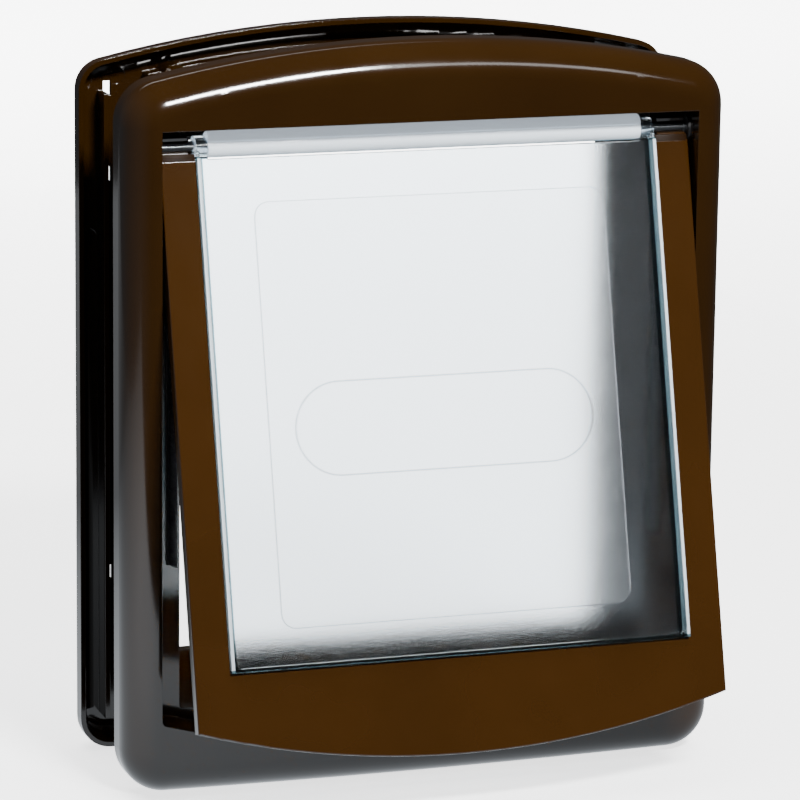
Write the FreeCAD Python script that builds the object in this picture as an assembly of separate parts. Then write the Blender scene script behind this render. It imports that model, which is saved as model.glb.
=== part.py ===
import FreeCAD, Part
import math
import os

# Cat flap for a door: two moulded frames that clamp the door leaf, a rod across the
# front frame, an outer flap that is a three-sided border, and a clear flap in its window.
# X is to the right, the front faces -Y, Z is up, and Z = 0 is the lowest point of both frames.
# Y = 0 is the rear rim of the front frame, where the door leaf touches it.

# Outline shared by both frames
WIDTH = 294.0
HEIGHT = 352.0
TOP_ARC_RADIUS = 604.0
FOOT_BULGE = 1.6
WALL = 2.4

# Front frame
FRONT_DEPTH = 25.0
FRONT_CORNER = 21.0
FRONT_SHOULDER = 16.0
OPENING_SIDE_WALL = 16.5
OPENING_HEADER = 36.4
OPENING_HALF = WIDTH / 2 - OPENING_SIDE_WALL
OPENING_TOP = HEIGHT - OPENING_HEADER
OPENING_CORNER_Z = 37.0
OPENING_LOW_Z = 18.2
OPENING_CORNER_RADIUS = 3.0

# Back frame
DOOR_GAP = 62.0
BACK_DEPTH = 17.0
BACK_CORNER = 15.0
BACK_SHOULDER = 10.0

# Tunnel through the door, its front sleeve inside its back sleeve
LEDGE_WIDTH = 14.5
TUNNEL_HALF = OPENING_HALF - LEDGE_WIDTH
TUNNEL_FLOOR = 37.6
TUNNEL_TOP = OPENING_TOP - WALL
SLEEVE_WALL = 2.2
SLEEVE_GAP = 0.4
SLEEVE_CORNER = 2.0
FRONT_SLEEVE_LENGTH = 37.0
SLEEVE_OVERLAP = 12.0
SILL_FRONT = 49.0
SILL_THICK = 4.6
SILL_TOP = 51.5

# Rod and its end bushes
ROD_Y = -9.1
ROD_BELOW_HEADER = 10.0
ROD_Z = OPENING_TOP - ROD_BELOW_HEADER
ROD_RADIUS = 3.1
ROD_END_TAPER = 0.6
BUSH_RADIUS = 5.2
BUSH_LEDGE_GAP = 0.3
BUSH_FLANGE_RADIUS = -ROD_Y - WALL - BUSH_LEDGE_GAP
RUNNING_FIT = 0.05
SIDE_PLAY = 0.3

# Outer flap: the border
REST_TILT = 14.6
BORDER_SIDE_GAP = 1.4
BORDER_FOOT_GAP = 1.8
BORDER_HALF = OPENING_HALF - BORDER_SIDE_GAP
BORDER_FRONT = 4.8
BORDER_SHEET = 2.4
BORDER_EDGE_DEPTH = 6.0
BORDER_TOP = 6.2
BORDER_EDGE_RADIUS = 0.8
BORDER_CORNER_LENGTH = ROD_Z - OPENING_CORNER_Z - BORDER_FOOT_GAP
BORDER_LOW_LENGTH = ROD_Z - OPENING_LOW_Z - BORDER_FOOT_GAP
BORDER_FOOT_RAIL = 26.8
WINDOW_INSIDE_TUNNEL = 4.0
WINDOW_HALF = TUNNEL_HALF - WINDOW_INSIDE_TUNNEL
WINDOW_LENGTH = BORDER_CORNER_LENGTH - BORDER_FOOT_RAIL
HOOK_WALL = 2.0
HOOK_OPEN_ANGLE = 110.0

# Clear flap
BARREL_RADIUS = 5.3
CLEAR_GAP = 0.3
CLEAR_TUNNEL_GAP = 1.4
CLEAR_FLANGE_HALF = TUNNEL_HALF - CLEAR_TUNNEL_GAP
CLEAR_FLANGE_THICK = 1.5
CLEAR_PROUD = 2.2
RIM_WALL = 1.6
PANEL_THICK = 2.0
PANEL_BACK = 0.4
COLLAR_LENGTH = 6.0
INNER_PANEL_SIDE_MARGIN = 26.6
INNER_PANEL_FOOT_MARGIN = 18.0
INNER_PANEL_HALF = WINDOW_HALF - INNER_PANEL_SIDE_MARGIN
INNER_PANEL_TOP = 26.5
INNER_PANEL_LOW = WINDOW_LENGTH - INNER_PANEL_FOOT_MARGIN
INNER_PANEL_RAISE = 0.35
INNER_PANEL_RADIUS = 7.0
BADGE_SIDE_MARGIN = 12.4
BADGE_HALF = INNER_PANEL_HALF - BADGE_SIDE_MARGIN
BADGE_RADIUS = 22.0
BADGE_LINE = 0.8
BADGE_HEIGHT = 0.5
BADGE_BELOW_MIDDLE = 7.75
BADGE_CENTRE = (INNER_PANEL_TOP + INNER_PANEL_LOW) / 2 + BADGE_BELOW_MIDDLE

# Draught strips, magnets and stops
STRIP_WIDTH = 5.0
STRIP_BASE = 1.0
STRIP_REACH_GAP = 0.35
STRIP_FROM_TUNNEL = 1.4
PILE_WIDTH = 3.0
SIDE_STRIP_LOW = 108.0
STRIP_BELOW_ROD = 13.6
SIDE_STRIP_TOP = ROD_Z - STRIP_BELOW_ROD
BOTTOM_STRIP_END_MARGIN = 36.0
BOTTOM_STRIP_HALF = TUNNEL_HALF - BOTTOM_STRIP_END_MARGIN
MAGNET_LENGTH = 22.0
MAGNET_HEIGHT = 6.0
MAGNET_THICK = 3.0
STOP_GAP = 0.5
STOP_LEVELS = (64.0, 85.0)
STOP_HEIGHTS = (12.0, 18.0)
STOP_WIDTH = 3.6

# Fixing screws and their caps
SCREW_FROM_SIDE = 47.0
SCREW_FROM_TOP = 25.0
SCREW_X = WIDTH / 2 - SCREW_FROM_SIDE
SCREW_Z_TOP = HEIGHT - SCREW_FROM_TOP
SCREW_Z_LOW = 13.4
SCREW_RADIUS = 2.2
SCREW_HEAD_RADIUS = 4.0
SCREW_HEAD_HEIGHT = 2.6
SCREW_HEAD_BEVEL = 0.7
SCREW_SLOT_HALF = 2.8
SCREW_SLOT_WIDTH = 1.1
SCREW_SLOT_DEPTH = 1.4
SCREW_BITE = 12.0
HEAD_TO_CAP = 1.0
POST_WALL = 2.8
CAP_RADIUS = 5.2
CAP_SKIN = 1.0
CAP_WALL = 0.9

# Ribs and openings inside the back frame
RIB_FROM_SIDE = 14.0
RIB_X = WIDTH / 2 - RIB_FROM_SIDE
RIB_THICK = 2.4
RIB_HEIGHT = 12.0
RIB_BELOW_TOP = 32.0
SLOT_FROM_SIDE = 17.4
SLOT_X = WIDTH / 2 - SLOT_FROM_SIDE
SLOT_WIDTH = 3.6
SLOT_HEIGHT = 7.0
SLOT_LEVELS = (85.0, HEIGHT - 72.0, HEIGHT - 31.0)
ARCH_RIB_DROP = 13.0
ARCH_RIB_GAP_HALF = 19.0
ARCH_RIB_FROM_SIDE = 35.0
ARCH_RIB_HALF = WIDTH / 2 - ARCH_RIB_FROM_SIDE
EJECTOR_RADIUS = 4.2
EJECTOR_DEPTH = 0.3
EJECTOR_FROM_SIDE = 8.0
EJECTOR_FROM_TOP = 102.0
CORNER_EJECTOR_FROM_SIDE = 22.0
CORNER_EJECTOR_FROM_TOP = 25.0
ARCH_EJECTOR_FROM_TOP = 17.0
ARCH_EJECTOR_X = 6.0

FRONT_FACE = -FRONT_DEPTH
LEDGE_FRONT = -WALL
BACK_RIM = DOOR_GAP
BACK_FACE = DOOR_GAP + BACK_DEPTH
BACK_SLEEVE_START = FRONT_SLEEVE_LENGTH - SLEEVE_OVERLAP
ACROSS = FreeCAD.Vector(1, 0, 0)
REARWARD = FreeCAD.Vector(0, 1, 0)
ORIGIN = FreeCAD.Vector(0, 0, 0)


def point(x, z, y=0.0):
    return FreeCAD.Vector(x, y, z)


def line(start, end):
    return Part.LineSegment(start, end).toShape()


def arc(start, middle, end):
    return Part.Arc(start, middle, end).toShape()


def arc_drop(radius, half):
    """Height lost by an arc of this radius at this distance from its middle."""
    return radius - math.sqrt(radius * radius - half * half)


def box(x_low, x_high, y_low, y_high, z_low, z_high):
    return Part.makeBox(
        x_high - x_low, y_high - y_low, z_high - z_low, FreeCAD.Vector(x_low, y_low, z_low)
    )


def rod_cylinder(radius, x_low, x_high, y=ROD_Y, z=ROD_Z):
    return Part.makeCylinder(radius, x_high - x_low, FreeCAD.Vector(x_low, y, z), ACROSS)


def bar(radius, y_low, y_high, x, z):
    return Part.makeCylinder(radius, y_high - y_low, FreeCAD.Vector(x, y_low, z), REARWARD)


def frame_outline(inset, y):
    """Arched top, straight sides and a slightly bulging foot, with sharp corners."""
    half = WIDTH / 2 - inset
    top_radius = TOP_ARC_RADIUS - inset
    shoulder_z = HEIGHT - inset - arc_drop(top_radius, half)
    left_foot = point(-half, inset + FOOT_BULGE, y)
    right_foot = point(half, inset + FOOT_BULGE, y)
    left_top = point(-half, shoulder_z, y)
    right_top = point(half, shoulder_z, y)
    return Part.Wire(
        [
            arc(left_foot, point(0, inset, y), right_foot),
            line(right_foot, right_top),
            arc(right_top, point(0, HEIGHT - inset, y), left_top),
            line(left_top, left_foot),
        ]
    )


def frame_blank(inset, rim_y, face_y, corner, shoulder):
    """A solid of the frame's outline with rounded corners and one rounded face."""
    face = Part.Face(frame_outline(inset, rim_y))
    solid = face.extrude(FreeCAD.Vector(0, face_y - rim_y, 0))
    upright = []
    for edge in solid.Edges:
        ends = [vertex.Point for vertex in edge.Vertexes]
        if abs(ends[0].y - ends[1].y) > abs(face_y - rim_y) / 2:
            upright.append(edge)
    solid = solid.makeFillet(corner, upright)
    rim = []
    for edge in solid.Edges:
        if all(abs(vertex.Point.y - face_y) < 1e-6 for vertex in edge.Vertexes):
            rim.append(edge)
    return solid.makeFillet(shoulder, rim)


def opening_outline(grow, y):
    """The flap's opening: straight sides and top, and an arched lower edge."""
    half = OPENING_HALF + grow
    low = OPENING_LOW_Z - grow
    corner = OPENING_CORNER_Z - grow
    top = OPENING_TOP + grow
    return Part.Wire(
        [
            arc(point(-half, corner, y), point(0, low, y), point(half, corner, y)),
            line(point(half, corner, y), point(half, top, y)),
            line(point(half, top, y), point(-half, top, y)),
            line(point(-half, top, y), point(-half, corner, y)),
        ]
    )


def opening_solid(grow, y_low, y_high):
    solid = Part.Face(opening_outline(grow, y_low)).extrude(FreeCAD.Vector(0, y_high - y_low, 0))
    lower = []
    for edge in solid.Edges:
        ends = [vertex.Point for vertex in edge.Vertexes]
        if abs(ends[0].y - ends[1].y) > 1.0 and ends[0].z < OPENING_TOP / 2:
            lower.append(edge)
    return solid.makeFillet(OPENING_CORNER_RADIUS + grow, lower)


def tunnel_solid(grow, y_low, y_high):
    """The clear way through the door, grown by the same amount all round."""
    half = TUNNEL_HALF + grow
    solid = box(-half, half, y_low, y_high, TUNNEL_FLOOR - grow, TUNNEL_TOP + grow)
    lengthwise = []
    for edge in solid.Edges:
        ends = [vertex.Point for vertex in edge.Vertexes]
        if abs(ends[0].y - ends[1].y) > 1.0:
            lengthwise.append(edge)
    return solid.makeFillet(SLEEVE_CORNER + grow, lengthwise)


def screw_places():
    return [
        (-SCREW_X, SCREW_Z_LOW),
        (SCREW_X, SCREW_Z_LOW),
        (-SCREW_X, SCREW_Z_TOP),
        (SCREW_X, SCREW_Z_TOP),
    ]


def ejector_places():
    """Centres of the round ejector marks on the back frame's inner face."""
    places = [(ARCH_EJECTOR_X, HEIGHT - ARCH_EJECTOR_FROM_TOP)]
    for side in (-1, 1):
        places.append((side * (WIDTH / 2 - EJECTOR_FROM_SIDE), HEIGHT - EJECTOR_FROM_TOP))
        places.append(
            (side * (WIDTH / 2 - CORNER_EJECTOR_FROM_SIDE), HEIGHT - CORNER_EJECTOR_FROM_TOP)
        )
    return places


def screw_seat():
    """Y of the seat under the screw heads, sunk so that the cap closes over the head."""
    return BACK_FACE - CAP_SKIN - SCREW_HEAD_HEIGHT - HEAD_TO_CAP


def stop_blocks():
    """Blocks on the ledge that the closed border rests against."""
    blocks = []
    reach = closed_border_back() + STOP_GAP
    for level, height in zip(STOP_LEVELS, STOP_HEIGHTS):
        outer = OPENING_HALF
        blocks.append(box(outer - STOP_WIDTH, outer, reach, LEDGE_FRONT, level, level + height))
        blocks.append(box(-outer, -outer + STOP_WIDTH, reach, LEDGE_FRONT, level, level + height))
    return blocks


def closed_border_front():
    return ROD_Y - BORDER_FRONT


def closed_border_back():
    return closed_border_front() + BORDER_EDGE_DEPTH


def closed_sheet_back():
    return closed_border_front() + BORDER_SHEET


def magnet_top():
    """Height of both magnets' upper edge when the border is closed, just below the draught strip."""
    return TUNNEL_FLOOR - STRIP_WIDTH - 2 * STRIP_FROM_TUNNEL


def front_frame():
    blank = frame_blank(0.0, 0.0, FRONT_FACE, FRONT_CORNER, FRONT_SHOULDER)
    hollow = frame_blank(WALL, 0.0, FRONT_FACE + WALL, FRONT_CORNER - WALL, FRONT_SHOULDER - WALL)
    body = blank.cut(hollow)
    pocket = opening_solid(WALL, FRONT_FACE, 0.0).common(blank)
    posts = []
    for x, z in screw_places():
        posts.append(bar(SCREW_RADIUS + POST_WALL, FRONT_FACE, 0.0, x, z).common(blank))
    body = body.fuse([pocket] + posts)
    body = body.fuse(tunnel_solid(SLEEVE_WALL, LEDGE_FRONT, FRONT_SLEEVE_LENGTH))
    body = body.cut(opening_solid(0.0, FRONT_FACE - 1.0, LEDGE_FRONT))
    body = body.cut(tunnel_solid(0.0, LEDGE_FRONT - 1.0, FRONT_SLEEVE_LENGTH + 1.0))
    body = body.fuse(stop_blocks())
    seat_half = OPENING_HALF + WALL + 1.0
    body = body.cut(rod_cylinder(BUSH_RADIUS, -seat_half, seat_half))
    for x, z in screw_places():
        body = body.cut(bar(SCREW_RADIUS, -SCREW_BITE - 1.0, 1.0, x, z))
    return body.removeSplitter()


def arch_rib():
    """A rib that follows the arch inside the back frame, open at its middle."""
    radius = TOP_ARC_RADIUS - ARCH_RIB_DROP
    outer = Part.makeCylinder(radius, RIB_HEIGHT, point(0, HEIGHT - TOP_ARC_RADIUS, BACK_RIM), REARWARD)
    inner_radius = radius - RIB_THICK
    inner = Part.makeCylinder(
        inner_radius, RIB_HEIGHT, point(0, HEIGHT - TOP_ARC_RADIUS, BACK_RIM), REARWARD
    )
    ring = outer.cut(inner)
    low = TUNNEL_TOP
    left = box(-ARCH_RIB_HALF, -ARCH_RIB_GAP_HALF, BACK_RIM, BACK_FACE, low, HEIGHT)
    right = box(ARCH_RIB_GAP_HALF, ARCH_RIB_HALF, BACK_RIM, BACK_FACE, low, HEIGHT)
    return [ring.common(left), ring.common(right)]


def back_frame():
    blank = frame_blank(0.0, BACK_RIM, BACK_FACE, BACK_CORNER, BACK_SHOULDER)
    hollow = frame_blank(WALL, BACK_RIM, BACK_FACE - WALL, BACK_CORNER - WALL, BACK_SHOULDER - WALL)
    body = blank.cut(hollow)
    ribs = []
    for side in (-1, 1):
        middle = side * RIB_X
        low = middle - RIB_THICK / 2
        high = middle + RIB_THICK / 2
        rib = box(low, high, BACK_RIM + WALL, BACK_FACE, BACK_CORNER, HEIGHT - RIB_BELOW_TOP)
        ribs.append(rib.common(blank))
    for rib in arch_rib():
        ribs.append(rib.translated(FreeCAD.Vector(0, BACK_DEPTH - RIB_HEIGHT, 0)).common(blank))
    for x, z in screw_places():
        ribs.append(bar(CAP_RADIUS + CAP_WALL, BACK_RIM, BACK_FACE, x, z).common(blank))
    body = body.fuse(ribs)
    outer = SLEEVE_WALL + SLEEVE_GAP + SLEEVE_WALL
    inner = SLEEVE_WALL + SLEEVE_GAP
    body = body.fuse(tunnel_solid(outer, BACK_SLEEVE_START, BACK_FACE))
    body = body.cut(tunnel_solid(inner, BACK_SLEEVE_START - 1.0, BACK_FACE + 1.0))
    sill_low = TUNNEL_FLOOR - inner - SLEEVE_WALL
    sill_half = TUNNEL_HALF + inner + SLEEVE_WALL / 2
    sill = box(-sill_half, sill_half, SILL_FRONT, SILL_FRONT + SILL_THICK, sill_low, SILL_TOP)
    body = body.fuse(sill)
    for side in (-1, 1):
        middle = side * SLOT_X
        for level in SLOT_LEVELS:
            body = body.cut(
                box(
                    middle - SLOT_WIDTH / 2,
                    middle + SLOT_WIDTH / 2,
                    BACK_RIM,
                    BACK_FACE + 1.0,
                    level - SLOT_HEIGHT / 2,
                    level + SLOT_HEIGHT / 2,
                )
            )
    floor_y = BACK_FACE - WALL
    for x, z in ejector_places():
        body = body.cut(bar(EJECTOR_RADIUS, floor_y, floor_y + EJECTOR_DEPTH, x, z))
    seat_y = screw_seat()
    for x, z in screw_places():
        body = body.cut(bar(CAP_RADIUS, seat_y, BACK_FACE + 1.0, x, z))
        body = body.cut(bar(SCREW_RADIUS + RUNNING_FIT, BACK_RIM - 1.0, BACK_FACE, x, z))
    return body.removeSplitter()


def fixing_screw(x, z):
    """A cross-slotted pan-head screw, its head on the seat in the back frame."""
    seat_y = screw_seat()
    shank = bar(SCREW_RADIUS, -SCREW_BITE, seat_y, x, z)
    head = bar(SCREW_HEAD_RADIUS, seat_y, seat_y + SCREW_HEAD_HEIGHT, x, z)
    edge = [e for e in head.Edges if abs(e.CenterOfMass.y - seat_y - SCREW_HEAD_HEIGHT) < 1e-6]
    head = head.makeChamfer(SCREW_HEAD_BEVEL, edge)
    screw = shank.fuse(head)
    reach = SCREW_SLOT_HALF
    arm = SCREW_SLOT_WIDTH / 2
    top = seat_y + SCREW_HEAD_HEIGHT
    screw = screw.cut(box(x - reach, x + reach, top - SCREW_SLOT_DEPTH, top, z - arm, z + arm))
    screw = screw.cut(box(x - arm, x + arm, top - SCREW_SLOT_DEPTH, top, z - reach, z + reach))
    return screw.removeSplitter()


def screw_cap(x, z):
    """A press-in cap that closes the screw's recess, flush with the back face."""
    seat_y = screw_seat()
    outside = bar(CAP_RADIUS - RUNNING_FIT, seat_y, BACK_FACE, x, z)
    inside = bar(CAP_RADIUS - CAP_WALL, seat_y, BACK_FACE - CAP_SKIN, x, z)
    return outside.cut(inside)


def pivot_rod():
    half = OPENING_HALF + WALL
    rod = rod_cylinder(ROD_RADIUS, -half, half)
    return rod.makeChamfer(ROD_END_TAPER, [e for e in rod.Edges if len(e.Vertexes) == 1])


def rod_bush(side):
    inner = BORDER_HALF + SIDE_PLAY
    sleeve = rod_cylinder(BUSH_RADIUS, OPENING_HALF, OPENING_HALF + WALL)
    collar = rod_cylinder(BUSH_FLANGE_RADIUS, inner, OPENING_HALF)
    bush = sleeve.fuse(collar)
    bush = bush.cut(rod_cylinder(ROD_RADIUS, inner - 1.0, OPENING_HALF + WALL + 1.0))
    if side < 0:
        bush = bush.mirror(ORIGIN, ACROSS)
    return bush.removeSplitter()


def flap_point(x, length, out):
    """A point of the hanging flap, by its length below the rod and its distance in front of it."""
    return FreeCAD.Vector(x, ROD_Y - out, ROD_Z - length)


def tilt(shape):
    """Swing a hanging flap outwards to the angle at which it is shown."""
    turned = shape.copy()
    turned.rotate(FreeCAD.Vector(0, ROD_Y, ROD_Z), ACROSS, -REST_TILT)
    return turned


def border_plate(shrink, out_front, out_back):
    """The border's outer shape: straight sides and an arched lower edge."""
    half = BORDER_HALF - shrink
    top = BORDER_TOP + shrink
    corner = BORDER_CORNER_LENGTH - shrink
    low = BORDER_LOW_LENGTH - shrink
    wire = Part.Wire(
        [
            line(flap_point(-half, top, out_front), flap_point(half, top, out_front)),
            line(flap_point(half, top, out_front), flap_point(half, corner, out_front)),
            arc(
                flap_point(half, corner, out_front),
                flap_point(0, low, out_front),
                flap_point(-half, corner, out_front),
            ),
            line(flap_point(-half, corner, out_front), flap_point(-half, top, out_front)),
        ]
    )
    return Part.Face(wire).extrude(FreeCAD.Vector(0, out_front - out_back, 0))


def flap_box(x_low, x_high, length_low, length_high, out_back, out_front):
    return box(
        x_low, x_high, ROD_Y - out_front, ROD_Y - out_back, ROD_Z - length_high, ROD_Z - length_low
    )


def border_hook(side):
    """A snap hook over the rod, open towards the front, on a web behind the rod."""
    x_low = min(side * (CLEAR_FLANGE_HALF + SIDE_PLAY), side * (BORDER_HALF - SIDE_PLAY))
    x_high = max(side * (CLEAR_FLANGE_HALF + SIDE_PLAY), side * (BORDER_HALF - SIDE_PLAY))
    inner = ROD_RADIUS + RUNNING_FIT
    outer = inner + HOOK_WALL
    ring = rod_cylinder(outer, x_low, x_high)
    web = flap_box(x_low, x_high, 0.0, BORDER_TOP + BORDER_SHEET, -outer, -outer + HOOK_WALL)
    foot = flap_box(
        x_low, x_high, BORDER_TOP, BORDER_TOP + BORDER_SHEET, -outer, BORDER_FRONT - BORDER_SHEET
    )
    hook = ring.fuse([web, foot])
    hook = hook.cut(rod_cylinder(inner, x_low - 1.0, x_high + 1.0))
    reach = outer * 3
    half_angle = math.radians(HOOK_OPEN_ANGLE / 2)
    centre = FreeCAD.Vector(x_low - 1.0, ROD_Y, ROD_Z)
    upper = FreeCAD.Vector(
        x_low - 1.0, ROD_Y - reach * math.cos(half_angle), ROD_Z + reach * math.sin(half_angle)
    )
    lower = FreeCAD.Vector(
        x_low - 1.0, ROD_Y - reach * math.cos(half_angle), ROD_Z - reach * math.sin(half_angle)
    )
    wedge = Part.Face(Part.makePolygon([centre, upper, lower, centre]))
    mouth = wedge.extrude(FreeCAD.Vector(x_high - x_low + 2.0, 0, 0))
    keep = flap_box(x_low - 1.0, x_high + 1.0, BORDER_TOP, 2 * BORDER_TOP, -reach, reach)
    return hook.cut(mouth.cut(keep))


def flap_border():
    front = BORDER_FRONT
    back = BORDER_FRONT - BORDER_EDGE_DEPTH
    plate = border_plate(0.0, front, back)
    outer_edges = []
    for edge in plate.Edges:
        if all(abs(vertex.Point.y - ROD_Y + front) < 1e-6 for vertex in edge.Vertexes):
            outer_edges.append(edge)
    plate = plate.makeFillet(BORDER_EDGE_RADIUS, outer_edges)
    recess = border_plate(BORDER_SHEET, front - BORDER_SHEET, back - 1.0)
    body = plate.cut(recess)
    body = body.fuse([border_hook(-1), border_hook(1)])
    window = flap_box(
        -WINDOW_HALF - CLEAR_GAP,
        WINDOW_HALF + CLEAR_GAP,
        -BARREL_RADIUS * 2,
        WINDOW_LENGTH + CLEAR_GAP,
        back - 2 * BARREL_RADIUS,
        front + 1.0,
    )
    seat_low = ROD_Z - magnet_top()
    cup_half = MAGNET_LENGTH / 2 + WALL / 2
    cup = flap_box(
        -cup_half,
        cup_half,
        seat_low - WALL / 2,
        seat_low + MAGNET_HEIGHT + WALL / 2,
        front - BORDER_SHEET - MAGNET_THICK,
        front - BORDER_SHEET,
    )
    magnet = flap_box(
        -MAGNET_LENGTH / 2,
        MAGNET_LENGTH / 2,
        seat_low,
        seat_low + MAGNET_HEIGHT,
        front - BORDER_SHEET - MAGNET_THICK,
        front - BORDER_SHEET,
    )
    body = body.cut(window).fuse(cup).cut(magnet)
    return tilt(body.removeSplitter()), tilt(magnet)


def rounded_slab(half, length_low, length_high, out_back, out_front, radius):
    slab = flap_box(-half, half, length_low, length_high, out_back, out_front)
    edges = []
    for edge in slab.Edges:
        ends = [vertex.Point for vertex in edge.Vertexes]
        if abs(ends[0].y - ends[1].y) > 1e-6:
            edges.append(edge)
    return slab.makeFillet(radius, edges)


def clear_flap():
    half = WINDOW_HALF
    length = WINDOW_LENGTH
    flange_front = BORDER_FRONT - BORDER_SHEET - CLEAR_GAP
    flange_back = flange_front - CLEAR_FLANGE_THICK
    rim_front = BORDER_FRONT + CLEAR_PROUD
    barrel_half = half - SIDE_PLAY
    low_edge = length + CLEAR_FLANGE_HALF - half
    flange = flap_box(
        -CLEAR_FLANGE_HALF, CLEAR_FLANGE_HALF, 2 * BORDER_TOP, low_edge, flange_back, flange_front
    )
    rim = flap_box(-half, half, 0.0, length, flange_back, rim_front)
    tray = rounded_slab(
        half - RIM_WALL,
        -length,
        length - RIM_WALL,
        PANEL_BACK + PANEL_THICK,
        rim_front + 1.0,
        RIM_WALL * 2,
    )
    under = flap_box(
        -half + RIM_WALL,
        half - RIM_WALL,
        BARREL_RADIUS,
        length - RIM_WALL,
        flange_back - 1.0,
        PANEL_BACK,
    )
    body = rim.fuse(flange).cut(tray).cut(under)
    shorten = flap_box(-half - 1.0, half + 1.0, -1.0, BARREL_RADIUS, BARREL_RADIUS, rim_front + 1.0)
    body = body.cut(shorten)
    barrel = rod_cylinder(BARREL_RADIUS, -barrel_half, barrel_half)
    groove_half = barrel_half - COLLAR_LENGTH
    groove = rod_cylinder(BARREL_RADIUS + 1.0, -groove_half, groove_half)
    groove = groove.cut(rod_cylinder(BARREL_RADIUS - INNER_PANEL_RAISE, -groove_half, groove_half))
    body = body.fuse(barrel)
    sheet_front = PANEL_BACK + PANEL_THICK
    inner = rounded_slab(
        INNER_PANEL_HALF,
        INNER_PANEL_TOP,
        INNER_PANEL_LOW,
        sheet_front - 0.5,
        sheet_front + INNER_PANEL_RAISE,
        INNER_PANEL_RADIUS,
    )
    low = BADGE_CENTRE - BADGE_RADIUS
    high = BADGE_CENTRE + BADGE_RADIUS
    top = sheet_front + BADGE_HEIGHT
    badge = rounded_slab(BADGE_HALF, low, high, sheet_front, top, BADGE_RADIUS - 0.01)
    hole = rounded_slab(
        BADGE_HALF - BADGE_LINE,
        low + BADGE_LINE,
        high - BADGE_LINE,
        sheet_front,
        top,
        BADGE_RADIUS - BADGE_LINE - 0.01,
    )
    body = body.fuse([inner, badge.cut(hole)])
    body = body.cut(rod_cylinder(ROD_RADIUS + RUNNING_FIT, -half - 1.0, half + 1.0))
    body = body.cut(groove)
    return tilt(body.removeSplitter())


def draught_strips():
    """Pile strips on the ledge, each a flat backing with a narrower brush."""
    brush_front = closed_sheet_back() + STRIP_REACH_GAP
    base_front = LEDGE_FRONT - STRIP_BASE
    near = TUNNEL_HALF + STRIP_FROM_TUNNEL
    margin = (STRIP_WIDTH - PILE_WIDTH) / 2
    strips = {}
    for name, side in (("draught_strip_left", -1), ("draught_strip_right", 1)):
        x_low = min(side * near, side * (near + STRIP_WIDTH))
        base = box(
            x_low, x_low + STRIP_WIDTH, base_front, LEDGE_FRONT, SIDE_STRIP_LOW, SIDE_STRIP_TOP
        )
        brush = box(
            x_low + margin,
            x_low + STRIP_WIDTH - margin,
            brush_front,
            base_front,
            SIDE_STRIP_LOW,
            SIDE_STRIP_TOP,
        )
        strips[name] = base.fuse(brush).removeSplitter()
    top = TUNNEL_FLOOR - STRIP_FROM_TUNNEL
    base = box(
        -BOTTOM_STRIP_HALF, BOTTOM_STRIP_HALF, base_front, LEDGE_FRONT, top - STRIP_WIDTH, top
    )
    brush = box(
        -BOTTOM_STRIP_HALF,
        BOTTOM_STRIP_HALF,
        brush_front,
        base_front,
        top - STRIP_WIDTH + margin,
        top - margin,
    )
    strips["draught_strip_bottom"] = base.fuse(brush).removeSplitter()
    return strips


def frame_magnet():
    """The fixed magnet on the lower ledge, opposite the one in the closed border."""
    top = magnet_top()
    half = MAGNET_LENGTH / 2
    return box(-half, half, LEDGE_FRONT - MAGNET_THICK, LEDGE_FRONT, top - MAGNET_HEIGHT, top)


def main():
    border, magnet = flap_border()
    parts = {
        "front_frame": front_frame(),
        "back_frame": back_frame(),
        "pivot_rod": pivot_rod(),
        "rod_bush_left": rod_bush(-1),
        "rod_bush_right": rod_bush(1),
        "flap_border": border,
        "flap_magnet": magnet,
        "clear_flap": clear_flap(),
        "frame_magnet": frame_magnet(),
    }
    parts.update(draught_strips())
    corners = ("bottom_left", "bottom_right", "top_left", "top_right")
    for corner, (x, z) in zip(corners, screw_places()):
        parts["fixing_screw_" + corner] = fixing_screw(x, z)
        parts["screw_cap_" + corner] = screw_cap(x, z)
    os.makedirs("parts", exist_ok=True)
    for name, shape in parts.items():
        shape.exportStep("parts/" + name + ".step")
        size = shape.BoundBox
        print(
            name,
            len(shape.Solids),
            shape.isValid(),
            round(shape.Volume),
            [round(v, 1) for v in (size.XMin, size.XMax, size.YMin, size.YMax, size.ZMin, size.ZMax)],
        )


main()
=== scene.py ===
# %% [markdown]
# A cat flap in glossy brown plastic, with a clear flap hanging in a brown border. The frame,
# the rod and the flap come as solids at their real size. This lesson gives them their finish,
# adds the fine pieces that are only for the eye, and sets the light and the camera.

# %% Load the fixed frame
import math

import bmesh
import bpy
import numpy as np
from mathutils import Matrix, Vector


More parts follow.
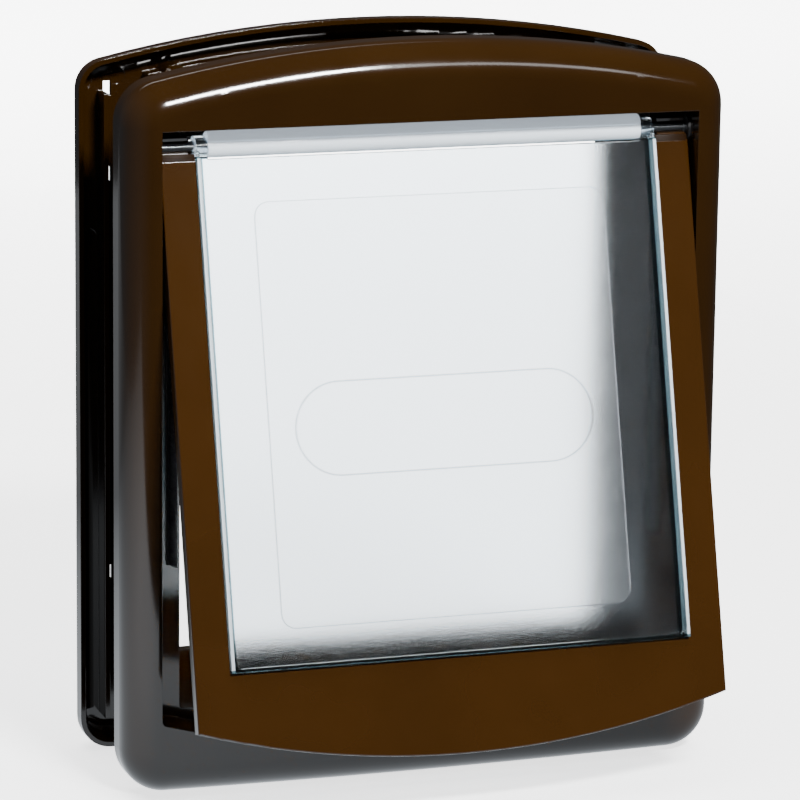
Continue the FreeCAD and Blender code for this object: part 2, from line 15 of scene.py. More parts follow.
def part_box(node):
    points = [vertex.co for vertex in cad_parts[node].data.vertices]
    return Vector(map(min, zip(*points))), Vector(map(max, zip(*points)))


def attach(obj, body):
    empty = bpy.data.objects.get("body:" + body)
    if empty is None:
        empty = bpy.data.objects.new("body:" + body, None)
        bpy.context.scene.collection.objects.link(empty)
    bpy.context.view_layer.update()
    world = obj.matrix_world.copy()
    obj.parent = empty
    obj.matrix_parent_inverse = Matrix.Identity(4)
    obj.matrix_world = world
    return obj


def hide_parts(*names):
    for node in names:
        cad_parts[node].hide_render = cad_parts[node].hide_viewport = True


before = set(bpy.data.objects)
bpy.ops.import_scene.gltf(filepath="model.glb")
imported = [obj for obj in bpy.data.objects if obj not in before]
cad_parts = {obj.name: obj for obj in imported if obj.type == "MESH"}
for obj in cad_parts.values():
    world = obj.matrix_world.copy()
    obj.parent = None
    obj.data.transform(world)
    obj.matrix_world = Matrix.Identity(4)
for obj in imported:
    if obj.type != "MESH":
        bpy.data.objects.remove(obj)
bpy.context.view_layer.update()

# %% [markdown]
# Both flaps hang on one rod, and the border rests tilted by 14.6 degrees. The middle of the
# rod's box is the axis. Everything added on the flap is placed from that axis by two lengths:
# how far down the flap a point lies, and how far in front of it. Plain coordinates would do as
# well, but these two stay readable on a tilted flap.

# %% Where the rod and the flap are
rod_low, rod_high = (np.array(corner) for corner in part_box("pivot_rod"))
ROD = (rod_low + rod_high) / 2
ROD_RADIUS = (rod_high[2] - rod_low[2]) / 2
TILT = math.radians(14.6)
DOWN = np.array([0.0, -math.sin(TILT), -math.cos(TILT)])
OUT = np.array([0.0, -math.cos(TILT), math.sin(TILT)])
print("rod axis at", ROD.round(4), "radius", round(ROD_RADIUS, 5))

# %% [markdown]
# A moulded surface is never one flat colour. Each finish here starts from one Principled shader.
# Object coordinates drive a soft noise that shifts the colour a little, a finer one that changes
# the gloss, as handling does, and a very fine one that makes the slight ripple of a moulded
# skin. Pictures could do the same, but noise has no seams and stays sharp close up.

# %% A helper for node materials
def new_material(name, base, roughness, **sockets):
    """A Principled material with its constants set straight on the shader's sockets."""
    material = bpy.data.materials.new(name)
    material.use_nodes = True
    shader = material.node_tree.nodes["Principled BSDF"]
    shader.inputs["Base Color"].default_value = (*base, 1.0)
    shader.inputs["Roughness"].default_value = roughness
    for socket, value in sockets.items():
        shader.inputs[socket.replace("_", " ")].default_value = value
    return material, material.node_tree, shader


def add_noise(tree, scale, detail=2.0, vector=None):
    """Noise on Object coordinates, or on the vector that is given."""
    noise = tree.nodes.new("ShaderNodeTexNoise")
    noise.inputs["Scale"].default_value = scale
    noise.inputs["Detail"].default_value = detail
    if vector is None:
        vector = tree.nodes.new("ShaderNodeTexCoord").outputs["Object"]
    tree.links.new(vector, noise.inputs["Vector"])
    return noise.outputs["Fac"]


def mix_colours(tree, factor, low, high):
    """A colour between two others, by a factor."""
    ramp = tree.nodes.new("ShaderNodeValToRGB")
    ramp.color_ramp.elements[0].color = (*low, 1.0)
    ramp.color_ramp.elements[1].color = (*high, 1.0)
    ramp.color_ramp.elements[0].position = 0.3
    ramp.color_ramp.elements[1].position = 0.7
    tree.links.new(factor, ramp.inputs["Fac"])
    return ramp.outputs["Color"]


def remap(tree, value, low, high):
    """The value 0 to 1 moved to the span from low to high."""
    node = tree.nodes.new("ShaderNodeMapRange")
    node.inputs["To Min"].default_value = low
    node.inputs["To Max"].default_value = high
    tree.links.new(value, node.inputs["Value"])
    return node.outputs["Result"]


def add_bump(tree, shader, height, distance, strength=1.0):
    """Bump of a real height in metres."""
    bump = tree.nodes.new("ShaderNodeBump")
    bump.inputs["Distance"].default_value = distance
    bump.inputs["Strength"].default_value = strength
    tree.links.new(height, bump.inputs["Height"])
    tree.links.new(bump.outputs["Normal"], shader.inputs["Normal"])
    return bump


# %% [markdown]
# The frames and the border are one brown plastic, pressed in polished moulds. It could be a
# plain brown with a coat of varnish on top. One dark base under one clear gloss is enough: what
# is seen of it is mostly reflection, so the roughness matters most. The frames get a darker copy
# of the brown than the border: painted shade on the upright frames, which catch less of the light
# from above than the tilted border. A still darker, matt copy with little shine is painted shade
# on the border's rolls and ears under the rod, where the header's shadow falls.

# %% Brown glossy plastic
def brown_plastic(name, low, high, smooth=0.07, worn=0.14, shine=0.5):
    material, tree, shader = new_material(name, low, worn, Specular_IOR_Level=shine)
    shader.inputs["IOR"].default_value = 1.5
    cloud = add_noise(tree, 14.0, 3.0)
    colour = mix_colours(tree, cloud, low, high)
    tree.links.new(colour, shader.inputs["Base Color"])
    wear = add_noise(tree, 55.0, 4.0)
    tree.links.new(remap(tree, wear, smooth, worn), shader.inputs["Roughness"])
    skin = add_noise(tree, 900.0, 2.0)
    bump = add_bump(tree, shader, skin, 0.00002, 0.35)
    edges = tree.nodes.new("ShaderNodeBevel")
    edges.samples = 6
    edges.inputs["Radius"].default_value = 0.0005
    tree.links.new(edges.outputs["Normal"], bump.inputs["Normal"])
    return material


# The frames' brown is darker than the border's: painted shade on the upright frames.
SHADED_FRAME_BROWN = brown_plastic("shaded_frame_brown", (0.0145, 0.0058, 0.0008), (0.0185, 0.0077, 0.0012))
FLAP_BROWN = brown_plastic("flap_brown", (0.025, 0.0096, 0.0013), (0.031, 0.0121, 0.0018))
# A darker, matt copy of the brown: painted shade under the rod, where the header's shadow falls.
MATTE_PAINTED_SHADE_BROWN = brown_plastic(
    "matte_painted_shade_brown", (0.010, 0.004, 0.0006), (0.013, 0.005, 0.0008), 0.42, 0.52, shine=0.08
)
print("made", [m.name for m in (SHADED_FRAME_BROWN, FLAP_BROWN, MATTE_PAINTED_SHADE_BROWN)])

# %% [markdown]
# The rod is black and polished, its bushes are a duller moulded black, the magnets and screws
# are metal, and the draught strips are a dense brush in a backing. The black ones could share
# one material. They have one each, because they differ by their gloss and not by their colour.

# %% Rod, bushes, metal and brush
def black_rod():
    rod_base = (0.3, 0.32, 0.34)
    material, tree, shader = new_material("dark_polished_rod", rod_base, 0.22, Metallic=1.0)
    wear = add_noise(tree, 120.0, 4.0)
    tree.links.new(remap(tree, wear, 0.2, 0.27), shader.inputs["Roughness"])
    return material


def black_bush():
    material, tree, shader = new_material("black_moulded_bush", (0.009, 0.009, 0.01), 0.42)
    grain = add_noise(tree, 1400.0, 2.0)
    add_bump(tree, shader, grain, 0.00004, 0.5)
    return material


def plated_steel():
    material, tree, shader = new_material("plated_steel", (0.5, 0.49, 0.46), 0.32, Metallic=1.0)
    cloud = add_noise(tree, 160.0, 4.0)
    colour = mix_colours(tree, cloud, (0.42, 0.41, 0.38), (0.58, 0.57, 0.54))
    tree.links.new(colour, shader.inputs["Base Color"])
    scratches = add_noise(tree, 700.0, 6.0)
    tree.links.new(remap(tree, scratches, 0.22, 0.42), shader.inputs["Roughness"])
    return material


def brush_pile():
    material, tree, shader = new_material("brush_pile", (0.012, 0.012, 0.013), 0.85)
    shader.inputs["Sheen Weight"].default_value = 0.35
    grain = add_noise(tree, 2500.0, 2.0)
    colour = mix_colours(tree, grain, (0.006, 0.006, 0.007), (0.028, 0.028, 0.03))
    tree.links.new(colour, shader.inputs["Base Color"])
    return material


ROD_BLACK = black_rod()
BUSH_BLACK = black_bush()
STEEL = plated_steel()
PILE = brush_pile()
print("made", [m.name for m in (ROD_BLACK, BUSH_BLACK, STEEL, PILE)])

# %% [markdown]
# The clear flap is smooth inside one rounded rectangle and frosted by a fine grain outside it.
# Its pattern has to lie square to the flap, which hangs tilted, so a Mapping node turns Object
# coordinates about the rod. After it, X runs across the flap and Z runs up it from the rod.
# Masks of those two mark the rest: the lines of the mould; painted shade, a dark tint beside the
# thick rim, at the flap's foot and in the joint under the barrel; the milk of a thick clear bar;
# and a painted glow on the barrel.
# Lines could be cut into the mesh too, but a mask keeps them thin and even.

# %% Clear plastic with its frosted field
INNER_HALF = 0.0854
INNER_TOP = 0.0265
INNER_LOW = 0.2220
INNER_CORNER = 0.007
INNER_LINE = 0.0005
BADGE_HALF = 0.073
BADGE_RADIUS = 0.022
BADGE_MIDDLE = 0.132
BADGE_LINE = 0.0009
BADGE_LINE_CENTRE = -0.0004
BARREL_REACH = 0.0046
BARREL_MILK = 0.8
# Strength of the painted glow on the barrel, which is no lamp.
PAINTED_BARREL_GLOW = 0.3
COLLAR_INSIDE = 0.1057
JOINT_LENGTH = 0.0052
JOINT_WIDTH = 0.0010
RIM_OUTER = 0.1105
RIM_SHADE = 0.1082
RIM_FOOT = 0.2388
RIM_MILK = 0.55
TINT = (0.80, 0.875, 0.93)
LINE_TINT = (0.48, 0.53, 0.58)
# Dark tint of the painted shade on the clear flap.
PAINTED_SHADE_TINT = (0.10, 0.17, 0.20)
GRAIN_SCALE = 2600.0
GRAIN_HEIGHT = 0.0001


def flap_coordinates(tree):
    """Object coordinates moved to the rod and turned upright with the flap."""
    source = tree.nodes.new("ShaderNodeTexCoord").outputs["Object"]
    shift = tree.nodes.new("ShaderNodeMapping")
    shift.inputs["Location"].default_value = [-value for value in ROD]
    tree.links.new(source, shift.inputs["Vector"])
    turn = tree.nodes.new("ShaderNodeMapping")
    turn.inputs["Rotation"].default_value = (TILT, 0.0, 0.0)
    tree.links.new(shift.outputs["Vector"], turn.inputs["Vector"])
    return turn.outputs["Vector"]


def calculate(tree, operation, first, second=None):
    """One Math node: its inputs are links or plain numbers."""
    node = tree.nodes.new("ShaderNodeMath")
    node.operation = operation
    for socket, value in zip(node.inputs, (first, second)):
        if value is None:
            continue
        if isinstance(value, (int, float)):
            socket.default_value = value
        else:
            tree.links.new(value, socket)
    return node.outputs["Value"]


def rounded_field(tree, vector, half, top, low, corner):
    """Distance outside a rounded rectangle, given by its half width and its two lengths down."""
    parts = tree.nodes.new("ShaderNodeSeparateXYZ")
    tree.links.new(vector, parts.inputs["Vector"])
    middle = -(top + low) / 2
    half_height = (low - top) / 2
    across = calculate(tree, "ABSOLUTE", parts.outputs["X"])
    along = calculate(tree, "ABSOLUTE", calculate(tree, "SUBTRACT", parts.outputs["Z"], middle))
    over_x = calculate(tree, "MAXIMUM", calculate(tree, "SUBTRACT", across, half - corner), 0.0)
    straight = half_height - corner
    over_z = calculate(tree, "MAXIMUM", calculate(tree, "SUBTRACT", along, straight), 0.0)
    square_x = calculate(tree, "POWER", over_x, 2.0)
    square_z = calculate(tree, "POWER", over_z, 2.0)
    reach = calculate(tree, "SQRT", calculate(tree, "ADD", square_x, square_z))
    return calculate(tree, "SUBTRACT", reach, corner)


def near_line(tree, distance, centre, width):
    """One on a thin line at this distance, zero elsewhere."""
    offset = calculate(tree, "ABSOLUTE", calculate(tree, "SUBTRACT", distance, centre))
    return calculate(tree, "LESS_THAN", offset, width / 2)


def clear_plastic():
    material, tree, shader = new_material("clear_plastic", TINT, 0.25)
    shader.inputs["Transmission Weight"].default_value = 1.0
    shader.inputs["IOR"].default_value = 1.49
    vector = flap_coordinates(tree)
    panel = rounded_field(tree, vector, INNER_HALF, INNER_TOP, INNER_LOW, INNER_CORNER)
    outside = calculate(tree, "GREATER_THAN", panel, 0.0)
    badge_top = BADGE_MIDDLE - BADGE_RADIUS
    badge_low = BADGE_MIDDLE + BADGE_RADIUS
    badge = rounded_field(tree, vector, BADGE_HALF, badge_top, badge_low, BADGE_RADIUS)
    panel_line = near_line(tree, panel, 0.0, INNER_LINE)
    badge_line = near_line(tree, badge, BADGE_LINE_CENTRE, BADGE_LINE)
    parts = tree.nodes.new("ShaderNodeSeparateXYZ")
    tree.links.new(vector, parts.inputs["Vector"])
    joint_line = near_line(tree, parts.outputs["Z"], -JOINT_LENGTH, JOINT_WIDTH)
    lines = calculate(tree, "MAXIMUM", panel_line, badge_line)
    tint = mix_colours(tree, lines, TINT, LINE_TINT)
    from_middle = calculate(tree, "ABSOLUTE", parts.outputs["X"])
    below_rod = calculate(tree, "LESS_THAN", parts.outputs["Z"], -BARREL_REACH)
    on_rim = calculate(tree, "GREATER_THAN", from_middle, RIM_OUTER)
    past_shade = calculate(tree, "GREATER_THAN", from_middle, RIM_SHADE)
    beside_rim = calculate(tree, "SUBTRACT", past_shade, on_rim)
    on_foot = calculate(tree, "LESS_THAN", parts.outputs["Z"], -RIM_FOOT)
    # Painted shade: beside the rim, at the flap's foot and on a thin line in the joint under the
    # barrel the colour turns to a dark tint.
    edges = calculate(tree, "MAXIMUM", calculate(tree, "MAXIMUM", beside_rim, on_foot), joint_line)
    shade = calculate(tree, "MULTIPLY", edges, below_rod)
    painted_shade = tree.nodes.new("ShaderNodeMix")
    painted_shade.data_type = "RGBA"
    tree.links.new(shade, painted_shade.inputs["Factor"])
    tree.links.new(tint, painted_shade.inputs["A"])
    painted_shade.inputs["B"].default_value = (*PAINTED_SHADE_TINT, 1.0)
    tree.links.new(painted_shade.outputs["Result"], shader.inputs["Base Color"])
    cloud = add_noise(tree, 30.0, 3.0, vector)
    smooth = remap(tree, cloud, 0.22, 0.27)
    frosted = remap(tree, cloud, 0.10, 0.15)
    gloss = tree.nodes.new("ShaderNodeMix")
    gloss.data_type = "FLOAT"
    tree.links.new(outside, gloss.inputs["Factor"])
    tree.links.new(smooth, gloss.inputs["A"])
    tree.links.new(frosted, gloss.inputs["B"])
    tree.links.new(gloss.outputs["Result"], shader.inputs["Roughness"])
    grain = calculate(tree, "MULTIPLY", add_noise(tree, GRAIN_SCALE, 2.0, vector), outside)
    add_bump(tree, shader, grain, GRAIN_HEIGHT, 0.55)
    along_barrel = calculate(tree, "LESS_THAN", from_middle, COLLAR_INSIDE)
    above_joint = calculate(tree, "GREATER_THAN", parts.outputs["Z"], -BARREL_REACH)
    barrel = calculate(tree, "MULTIPLY", along_barrel, above_joint)
    # Painted light: the barrel glows a little of its own, though it is no lamp.
    glow = calculate(tree, "MULTIPLY", barrel, PAINTED_BARREL_GLOW)
    shader.inputs["Emission Color"].default_value = (0.88, 0.93, 1.0, 1.0)
    tree.links.new(glow, shader.inputs["Emission Strength"])
    open_rim = calculate(tree, "MULTIPLY", on_rim, below_rod)
    rim_milk = calculate(tree, "MULTIPLY", open_rim, RIM_MILK)
    milk = calculate(tree, "MAXIMUM", calculate(tree, "MULTIPLY", barrel, BARREL_MILK), rim_milk)
    tree.links.new(calculate(tree, "SUBTRACT", 1.0, milk), shader.inputs["Transmission Weight"])
    return material


CLEAR = clear_plastic()
print("made", CLEAR.name)

# %% [markdown]
# Each solid now gets its finish by the start of its name, so that left and right, top and bottom
# share one material as they share one plastic. It could be set solid by solid, but a short table
# shows at once which part is made of what.

# %% Put the finishes on the solids
FINISHES = {
    "front_frame": SHADED_FRAME_BROWN,
    "back_frame": SHADED_FRAME_BROWN,
    "flap_border": FLAP_BROWN,
    "pivot_rod": ROD_BLACK,
    "rod_bush": BUSH_BLACK,
    "clear_flap": CLEAR,
    "flap_magnet": STEEL,
    "frame_magnet": STEEL,
    "draught_strip": PILE,
    "fixing_screw": STEEL,
    "screw_cap": SHADED_FRAME_BROWN,
}


def finish_for(node):
    return next(finish for start, finish in FINISHES.items() if node.startswith(start))


for node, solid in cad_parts.items():
    solid.data.materials.clear()
    solid.data.materials.append(finish_for(node))
print("finished", len(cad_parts), "solids")

# %% [markdown]
# The fine pieces are only for the eye. They could be drawn by hand. Here each is an array of
# points made by a formula, then one mesh, because its sizes then stand in the text. A helper
# turns a grid of points into a smooth surface, closed across if needed.

# %% Helpers for surfaces made from arrays
def grid_faces(rows, columns, wrap):
    """Quads of a grid of points, row by row; wrap joins the last column to the first."""
    row, column = np.meshgrid(
        np.arange(rows - 1), np.arange(columns if wrap else columns - 1), indexing="ij"
    )
    here = row * columns + column
    beside = row * columns + (column + 1) % columns
    return np.stack([here, beside, beside + columns, here + columns], axis=-1).reshape(-1, 4)


def make_piece(name, points, faces, material, body, smooth=True):
    """One mesh object in the frame's place, with outward normals, its finish and its body."""
    mesh = bpy.data.meshes.new(name)
    mesh.from_pydata(points.reshape(-1, 3).tolist(), [], [tuple(f) for f in faces])
    mesh.validate()
    mesh.polygons.foreach_set("use_smooth", [smooth] * len(mesh.polygons))
    work = bmesh.new()
    work.from_mesh(mesh)
    bmesh.ops.recalc_face_normals(work, faces=work.faces)
    work.to_mesh(mesh)
    work.free()
    mesh.materials.append(material)
    piece = bpy.data.objects.new(name, mesh)
    bpy.context.scene.collection.objects.link(piece)
    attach(piece, body)
    return piece


def on_flap(x, length, out):
    """Points of the tilted flap, from their place across, down from the rod and in front of it."""
    x, length, out = np.broadcast_arrays(x, length, out)
    base = ROD + length[..., None] * DOWN + out[..., None] * OUT
    return base + np.stack([x, np.zeros_like(x), np.zeros_like(x)], axis=-1)


END_INSET = np.array([0.0, 0.0002, 0.0006])


def closed_sweep(name, x_low, x_high, rings, material, body):
    """One closed section per place across the flap, joined round and capped at both ends.

    Each ring holds pairs of length down from the rod and distance in front of it."""
    x = np.concatenate([x_low + END_INSET, x_high - END_INSET[::-1]])
    points = on_flap(x[:, None], rings[..., 0], rings[..., 1])
    count = rings.shape[1]
    faces = [tuple(f) for f in grid_faces(len(x), count, True)]
    faces += [tuple(range(count)), tuple(range((len(x) - 1) * count, len(x) * count))]
    return make_piece(name, points, faces, material, body)


# %% [markdown]
# The clear flap's barrel has a moulded skirt over its top, which closes the slit under the
# header. Beyond its ends the border's hooks have thin ears behind the rod. Both could be cut
# from tubes. They are shells swept along the rod instead: a section that goes out along one arc
# and back along another, because its lips can then thin out.

# %% The skirt over the barrel and the ears of the hooks
SKIRT_HALF = 0.1057
SKIRT_INSIDE = 0.00535
SKIRT_THICK = 0.0020
EAR_NEAR = 0.1124
EAR_FAR = 0.1287
EAR_INSIDE = 0.0052
EAR_THICK = 0.0009


def rod_shell(name, x_low, x_high, inside, thick, first, last, material, body, slot):
    """Radius over angle a from the top: inside + thick (1 - 0.85 u^4), u from -1 at the first lip
    to 1 at the last one. Both ends close in towards the middle of the section."""
    u = np.linspace(-1.0, 1.0, 49)
    angle = np.radians((first + last) / 2 + u * (last - first) / 2)
    round_rod = np.stack([-np.cos(angle), np.sin(angle)], axis=-1)
    outer = round_rod * (inside + thick * (1.0 - 0.85 * u**4))[:, None]
    inner = round_rod[::-1] * inside
    section = np.concatenate([outer, inner])
    centre_line = (outer + inner[::-1]) / 2
    middle = np.concatenate([centre_line, centre_line[::-1]])
    scale = np.array([0.35, 0.8, 1.0, 1.0, 0.8, 0.35])[:, None, None]
    rings = middle + (section - middle) * scale
    return closed_sweep(name, x_low, x_high, rings, material, body)


SKIRT = (SKIRT_INSIDE, SKIRT_THICK, -95.0, 70.0, CLEAR, "inner_flap", "clear_plastic")
# The ears take the darker matt brown: painted shade behind the rod, under the header.
EAR = (EAR_INSIDE, EAR_THICK, -175.0, 10.0, MATTE_PAINTED_SHADE_BROWN, "outer_flap", "frame_plastic")
skirt = rod_shell("barrel_skirt", -SKIRT_HALF, SKIRT_HALF, *SKIRT)
left_ear = rod_shell("hook_ear_left", -EAR_FAR, -EAR_NEAR, *EAR)
right_ear = rod_shell("hook_ear_right", EAR_NEAR, EAR_FAR, *EAR)
print([(o.name, len(o.data.polygons)) for o in (skirt, left_ear, right_ear)])

# %% [markdown]
# The border's upper edge ends in a fat roll just under the rod, one on each side of the window.
# A box with rounded edges would do. A superellipse is chosen, nearly a rounded rectangle,
# because one number sets how round it is.

# %% The rolls under the rod
ROLL_MIDDLE = (0.0062, 0.0018)
ROLL_HALF = (0.00285, 0.00299)
ROLL_POWER = 0.2


def border_roll(name, x_low, x_high):
    """Section: half sizes times sign(c)|c|^p, c the cosine and sine of one turn, swept along X."""
    turn = np.linspace(0.0, 2 * np.pi, 48, endpoint=False)
    wave = np.stack([np.cos(turn), np.sin(turn)], axis=-1)
    shape = np.sign(wave) * np.abs(wave) ** ROLL_POWER * np.array(ROLL_HALF)
    scale = np.array([0.75, 0.93, 1.0, 1.0, 0.93, 0.75])[:, None, None]
    rings = np.array(ROLL_MIDDLE) + shape * scale
    # The rolls take the darker matt brown: painted shade under the rod.
    return closed_sweep(name, x_low, x_high, rings, MATTE_PAINTED_SHADE_BROWN, "outer_flap")


left_roll = border_roll("border_roll_left", -EAR_FAR, -EAR_NEAR)
right_roll = border_roll("border_roll_right", EAR_NEAR, EAR_FAR)
print([(o.name, len(o.data.polygons)) for o in (left_roll, right_roll)])

# %% [markdown]
# Small witness marks stand on the clear rim where the mould's pins were. They could be bumps of
# the material, but a bump leaves the outline flat, which shows from the side. Each is a low
# dome, a sphere flattened towards the rim.

# %% Witness marks on the rim
MARKS = ((-0.1112, 0.132), (-0.1112, 0.179), (0.1112, 0.135))
MARK_RADIUS = 0.0009
MARK_STRETCH = 1.6
MARK_HEIGHT = 0.0003
MARK_SINK = 0.0001
RIM_FRONT = 0.0070


def witness_marks():
    """Half spheres flattened along the flap's normal, one for each place on the rim."""
    rise = np.radians(np.linspace(0.0, 88.0, 8))[:, None]
    turn = np.linspace(0.0, 2 * np.pi, 20, endpoint=False)[None]
    across = MARK_RADIUS * np.cos(rise) * np.cos(turn)
    along = MARK_STRETCH * MARK_RADIUS * np.cos(rise) * np.sin(turn)
    out = RIM_FRONT - MARK_SINK + MARK_HEIGHT * np.sin(rise)
    dome = grid_faces(rise.size, turn.size, True)
    points = []
    every = []
    for number, (x, length) in enumerate(MARKS):
        points.append(on_flap(x + across, length + along, out).reshape(-1, 3))
        every.append(dome + number * rise.size * turn.size)
    points, faces = np.concatenate(points), np.concatenate(every)
    return make_piece("witness_marks", points, faces, CLEAR, "inner_flap")


marks = witness_marks()
print(marks.name, len(marks.data.polygons), "faces")

# %% [markdown]
# A draught strip is a brush: thousands of stiff hairs in a thin backing. A rough block would do
# from afar, but its edge would be straight, so the hairs are real. They are arrays too. Their
# roots are a jittered grid, each leans a little, and each narrows towards its tip. Three strips
# stand on the ledge. A fourth, under the tunnel's ceiling, darkens the slit above the barrel.

# %% Brushes of the draught strips
BACKING = 0.0010
PILE_MARGIN = 0.0011
HAIR_PITCH = 0.00036
HAIR_RADIUS = 0.00009
HAIR_LEAN = 0.00012
HAIR_LEVELS = np.array([0.0, 0.5, 1.0])
HAIR_TAPER = np.array([1.0, 0.85, 0.35])
HEADER_STRIP = ((-0.1157, -0.0016, 0.3072), (0.1157, 0.0026, 0.3131))
BACKING_FACES = np.array(
    [(0, 1, 3, 2), (4, 6, 7, 5), (0, 4, 5, 1), (2, 3, 7, 6), (0, 2, 6, 4), (1, 5, 7, 3)]
)


def backing_points(low, high):
    """The eight corners of the backing, the box's rearmost layer."""
    sides = [low[0], high[0]], [high[1] - BACKING, high[1]], [low[2], high[2]]
    return np.stack(np.meshgrid(*sides, indexing="ij"), axis=-1).reshape(-1, 3)


def draught_brush(name, low, high, seed):
    """Hairs as three-sided tapers: root plus height times lean, radius falling to a third."""
    random = np.random.default_rng(seed)
    low, high = np.array(low), np.array(high)
    wide = high - low
    along = 0 if wide[0] > wide[2] else 2
    across = 2 - along
    rows = np.arange(low[across] + PILE_MARGIN, high[across] - PILE_MARGIN, HAIR_PITCH)
    columns = np.arange(low[along] + HAIR_PITCH, high[along] - HAIR_PITCH, HAIR_PITCH)
    place = np.stack(np.meshgrid(rows, columns, indexing="ij"), axis=-1).reshape(-1, 2)
    place = place + random.uniform(-0.3, 0.3, place.shape) * HAIR_PITCH
    lean = random.normal(0.0, HAIR_LEAN, place.shape)
    length = (wide[1] - BACKING) * random.uniform(0.9, 0.99, len(place))
    turn = random.uniform(0.0, 2.1, len(place))[:, None] + np.radians([0.0, 120.0, 240.0])
    ring = np.stack([np.cos(turn), np.sin(turn)], axis=-1)
    shrink = HAIR_TAPER * HAIR_RADIUS
    points = np.zeros((len(place), 3, 3, 3))
    centre = place[:, None] + lean[:, None] * (HAIR_LEVELS**2)[None, :, None]
    section = centre[:, :, None] + ring[:, None] * shrink[None, :, None, None]
    points[..., across] = np.clip(section[..., 0], low[across], high[across])
    points[..., along] = np.clip(section[..., 1], low[along], high[along])
    points[..., 1] = (high[1] - BACKING) - (length[:, None] * HAIR_LEVELS)[..., None]
    first = 9 * np.arange(len(place))[:, None]
    sides = (grid_faces(3, 3, True)[None] + first[..., None]).reshape(-1, 4)
    tips = 6 + first + np.arange(3)
    base = backing_points(low, high)
    start = points.size // 3
    backing = [tuple(start + f) for f in BACKING_FACES]
    faces = [tuple(f) for f in sides] + [tuple(f) for f in tips] + backing
    every = np.concatenate([points.reshape(-1, 3), base])
    return make_piece(name, every, faces, PILE, "root", smooth=False)


for seed, side in enumerate(("left", "right", "bottom")):
    node = "draught_strip_" + side
    brush = draught_brush(node + "_brush", *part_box(node), seed)
    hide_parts(node)
    print(brush.name, len(brush.data.polygons), "faces")

header_brush = draught_brush("header_brush", *HEADER_STRIP, 3)
print(header_brush.name, len(header_brush.data.polygons), "faces")

# %% [markdown]
# The floor is one wide pale sheet. On a cut-out picture of goods the white is everywhere, also
# at the foot. Stronger lamps would whiten it, but they would pale the browns as well, so the
# sheet glows a little of its own.

# %% The floor
FLOOR_HALF = 9.0
FLOOR_GLOW = 2.0


def floor_plane():
    """A plain pale sheet, lit a little from below like a light table, which leaves no dark pool
    at the foot. It neither shows in mirror reflections nor throws light back on the object."""
    mesh = bpy.data.meshes.new("floor")
    corners = [
        (-FLOOR_HALF, -FLOOR_HALF, 0.0),
        (FLOOR_HALF, -FLOOR_HALF, 0.0),
        (FLOOR_HALF, FLOOR_HALF, 0.0),
        (-FLOOR_HALF, FLOOR_HALF, 0.0),
    ]
    mesh.from_pydata(corners, [], [(0, 1, 2, 3)])
    plane = bpy.data.objects.new("floor", mesh)
    bpy.context.scene.collection.objects.link(plane)
    material, _, shader = new_material("pale_floor", (0.93, 0.93, 0.93), 0.6)
    shader.inputs["Emission Color"].default_value = (1.0, 1.0, 1.0, 1.0)
    shader.inputs["Emission Strength"].default_value = FLOOR_GLOW
    mesh.materials.append(material)
    plane.visible_glossy = False
    plane.visible_diffuse = False
    return plane


floor_plane()

# %% [markdown]
# Gloss shows what stands round the object. The left shoulder carries a grey wedge that widens
# downwards: the mirror image of a pale table top that ends about a metre away. It could be
# painted on, but then it would stay in place when the view turns. A sheet of that outline, seen
# by mirror reflections only, gives the same wedge.

# %% The table top in the reflections
TABLE = ((-1.02, -0.7), (-0.1, -0.33), (0.6, -0.33), (0.6, 1.6), (-1.02, 1.6))
TABLE_HEIGHT = 0.0005
TABLE_LIT_SPOT = (-0.35, -0.3, 0.0)
TABLE_NEAR, TABLE_NEAR_GLOW = 0.15, 2.3
TABLE_FAR, TABLE_FAR_GLOW = 0.85, 0.3


def table_card():
    """A sheet with edges, so low parts of the object mirror it in full and high parts only a
    strip. Its glow fades with the distance from the spot in front on the left. It shows in
    mirror reflections and nowhere else."""
    mesh = bpy.data.meshes.new("table_card")
    mesh.from_pydata([(x, y, TABLE_HEIGHT) for x, y in TABLE], [], [tuple(range(len(TABLE)))])
    card = bpy.data.objects.new("table_card", mesh)
    bpy.context.scene.collection.objects.link(card)
    material, tree, shader = new_material("pale_table", (0.0, 0.0, 0.0), 1.0)
    shader.inputs["Emission Color"].default_value = (0.88, 0.94, 1.0, 1.0)
    distance = tree.nodes.new("ShaderNodeVectorMath")
    distance.operation = "DISTANCE"
    distance.inputs[1].default_value = TABLE_LIT_SPOT
    tree.links.new(tree.nodes.new("ShaderNodeTexCoord").outputs["Object"], distance.inputs[0])
    fall = tree.nodes.new("ShaderNodeMapRange")
    fall.inputs["From Min"].default_value = TABLE_NEAR
    fall.inputs["From Max"].default_value = TABLE_FAR
    fall.inputs["To Min"].default_value = TABLE_NEAR_GLOW
    fall.inputs["To Max"].default_value = TABLE_FAR_GLOW
    tree.links.new(distance.outputs["Value"], fall.inputs["Value"])
    tree.links.new(fall.outputs["Result"], shader.inputs["Emission Strength"])
    mesh.materials.append(material)
    card.visible_camera = False
    card.visible_diffuse = False
    card.visible_transmission = False
    card.visible_shadow = False
    return card


table_card()

# %% [markdown]
# A tent of white all round would turn the gloss grey, so the room is dark and the lights are
# few. A narrow soft box high in front draws the bright line along the arch, and a weak one
# beside it lets the line fade. A wide ceiling light fills the browns and is kept out of
# reflections. A last one lights the floor behind.

# %% The lights and the room
def area_light(name, place, target, size, power):
    """A rectangular light at a place, facing a target, with its size and power."""
    data = bpy.data.lights.new(name, "AREA")
    data.shape = "RECTANGLE"
    data.size, data.size_y = size
    data.energy = power
    lamp = bpy.data.objects.new(name, data)
    bpy.context.scene.collection.objects.link(lamp)
    lamp.location = place
    aim = Vector(target) - Vector(place)
    lamp.rotation_euler = aim.to_track_quat("-Z", "Y").to_euler()
    return lamp


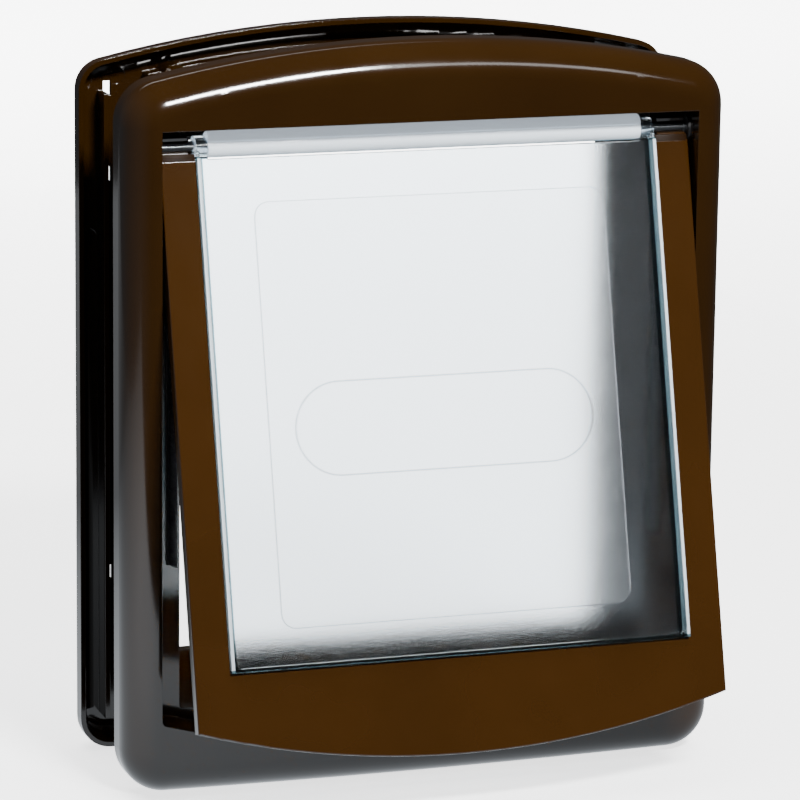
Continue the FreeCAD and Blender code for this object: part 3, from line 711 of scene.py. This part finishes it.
CENTRE = (0.0, 0.0, 0.18)
area_light("key_softbox", (0.178, -1.27, 1.25), CENTRE, (0.41, 0.18), 70.0)
area_light("key_tail", (0.66, -1.21, 1.21), CENTRE, (0.5, 0.18), 2.0)
ceiling = area_light("ceiling", (0.0, 0.3, 3.0), (0.0, 0.301, 0.0), (3.0, 3.0), 150.0)
ceiling.visible_glossy = False
wash = area_light("floor_wash", (0.0, 2.6, 2.2), (0.0, 2.601, 0.0), (5.0, 1.8), 250.0)
wash.data.spread = math.radians(95.0)


ROOM_DARK = 0.06
ROOM_PALE = 0.22


def studio_world():
    """A dark room with one side a little paler: the light rises towards the left."""
    world = bpy.data.worlds.new("studio")
    world.use_nodes = True
    tree = world.node_tree
    direction = tree.nodes.new("ShaderNodeTexCoord").outputs["Generated"]
    parts = tree.nodes.new("ShaderNodeSeparateXYZ")
    tree.links.new(direction, parts.inputs["Vector"])
    span = tree.nodes.new("ShaderNodeMapRange")
    span.interpolation_type = "SMOOTHSTEP"
    span.inputs["From Min"].default_value = -0.2
    span.inputs["From Max"].default_value = -0.95
    span.inputs["To Min"].default_value = ROOM_DARK
    span.inputs["To Max"].default_value = ROOM_PALE
    tree.links.new(parts.outputs["X"], span.inputs["Value"])
    background = tree.nodes["Background"]
    background.inputs["Color"].default_value = (0.93, 0.95, 1.0, 1.0)
    tree.links.new(span.outputs["Result"], background.inputs["Strength"])
    return world


bpy.context.scene.world = studio_world()

# %% [markdown]
# The camera stands low and to the left, about two metres away, with a long lens. A short lens
# from nearby would fill the picture too, but it would spread the frame's sides. These angles
# bring the outlines of both frames where the photograph has them.

# %% Camera at the photograph's angle
CAMERA_AZIMUTH = math.radians(-18.72)
CAMERA_HEIGHT_ANGLE = math.radians(12.665)
CAMERA_ROLL = math.radians(0.705)
CAMERA_DISTANCE = 2.063
CAMERA_TARGET = Vector((-0.00753, 0.0, 0.17935))
CAMERA_LENS = 196.9


def make_camera():
    """The camera looks at its target along the two angles, then rolls about that line."""
    level = math.cos(CAMERA_HEIGHT_ANGLE)
    away = Vector(
        (
            math.sin(CAMERA_AZIMUTH) * level,
            -math.cos(CAMERA_AZIMUTH) * level,
            math.sin(CAMERA_HEIGHT_ANGLE),
        )
    )
    right = (-away).cross(Vector((0.0, 0.0, 1.0))).normalized()
    up = right.cross(-away)
    turned_right = right * math.cos(CAMERA_ROLL) + up * math.sin(CAMERA_ROLL)
    turned_up = up * math.cos(CAMERA_ROLL) - right * math.sin(CAMERA_ROLL)
    turn = Matrix((turned_right, turned_up, away)).transposed().to_4x4()
    data = bpy.data.cameras.new("camera")
    data.lens = CAMERA_LENS
    data.sensor_width = 36.0
    data.clip_end = 50.0
    camera = bpy.data.objects.new("camera", data)
    camera.matrix_world = Matrix.Translation(CAMERA_TARGET + away * CAMERA_DISTANCE) @ turn
    bpy.context.scene.collection.objects.link(camera)
    bpy.context.scene.camera = camera
    return camera


make_camera()
print("camera at", [round(v, 3) for v in bpy.context.scene.camera.matrix_world.translation])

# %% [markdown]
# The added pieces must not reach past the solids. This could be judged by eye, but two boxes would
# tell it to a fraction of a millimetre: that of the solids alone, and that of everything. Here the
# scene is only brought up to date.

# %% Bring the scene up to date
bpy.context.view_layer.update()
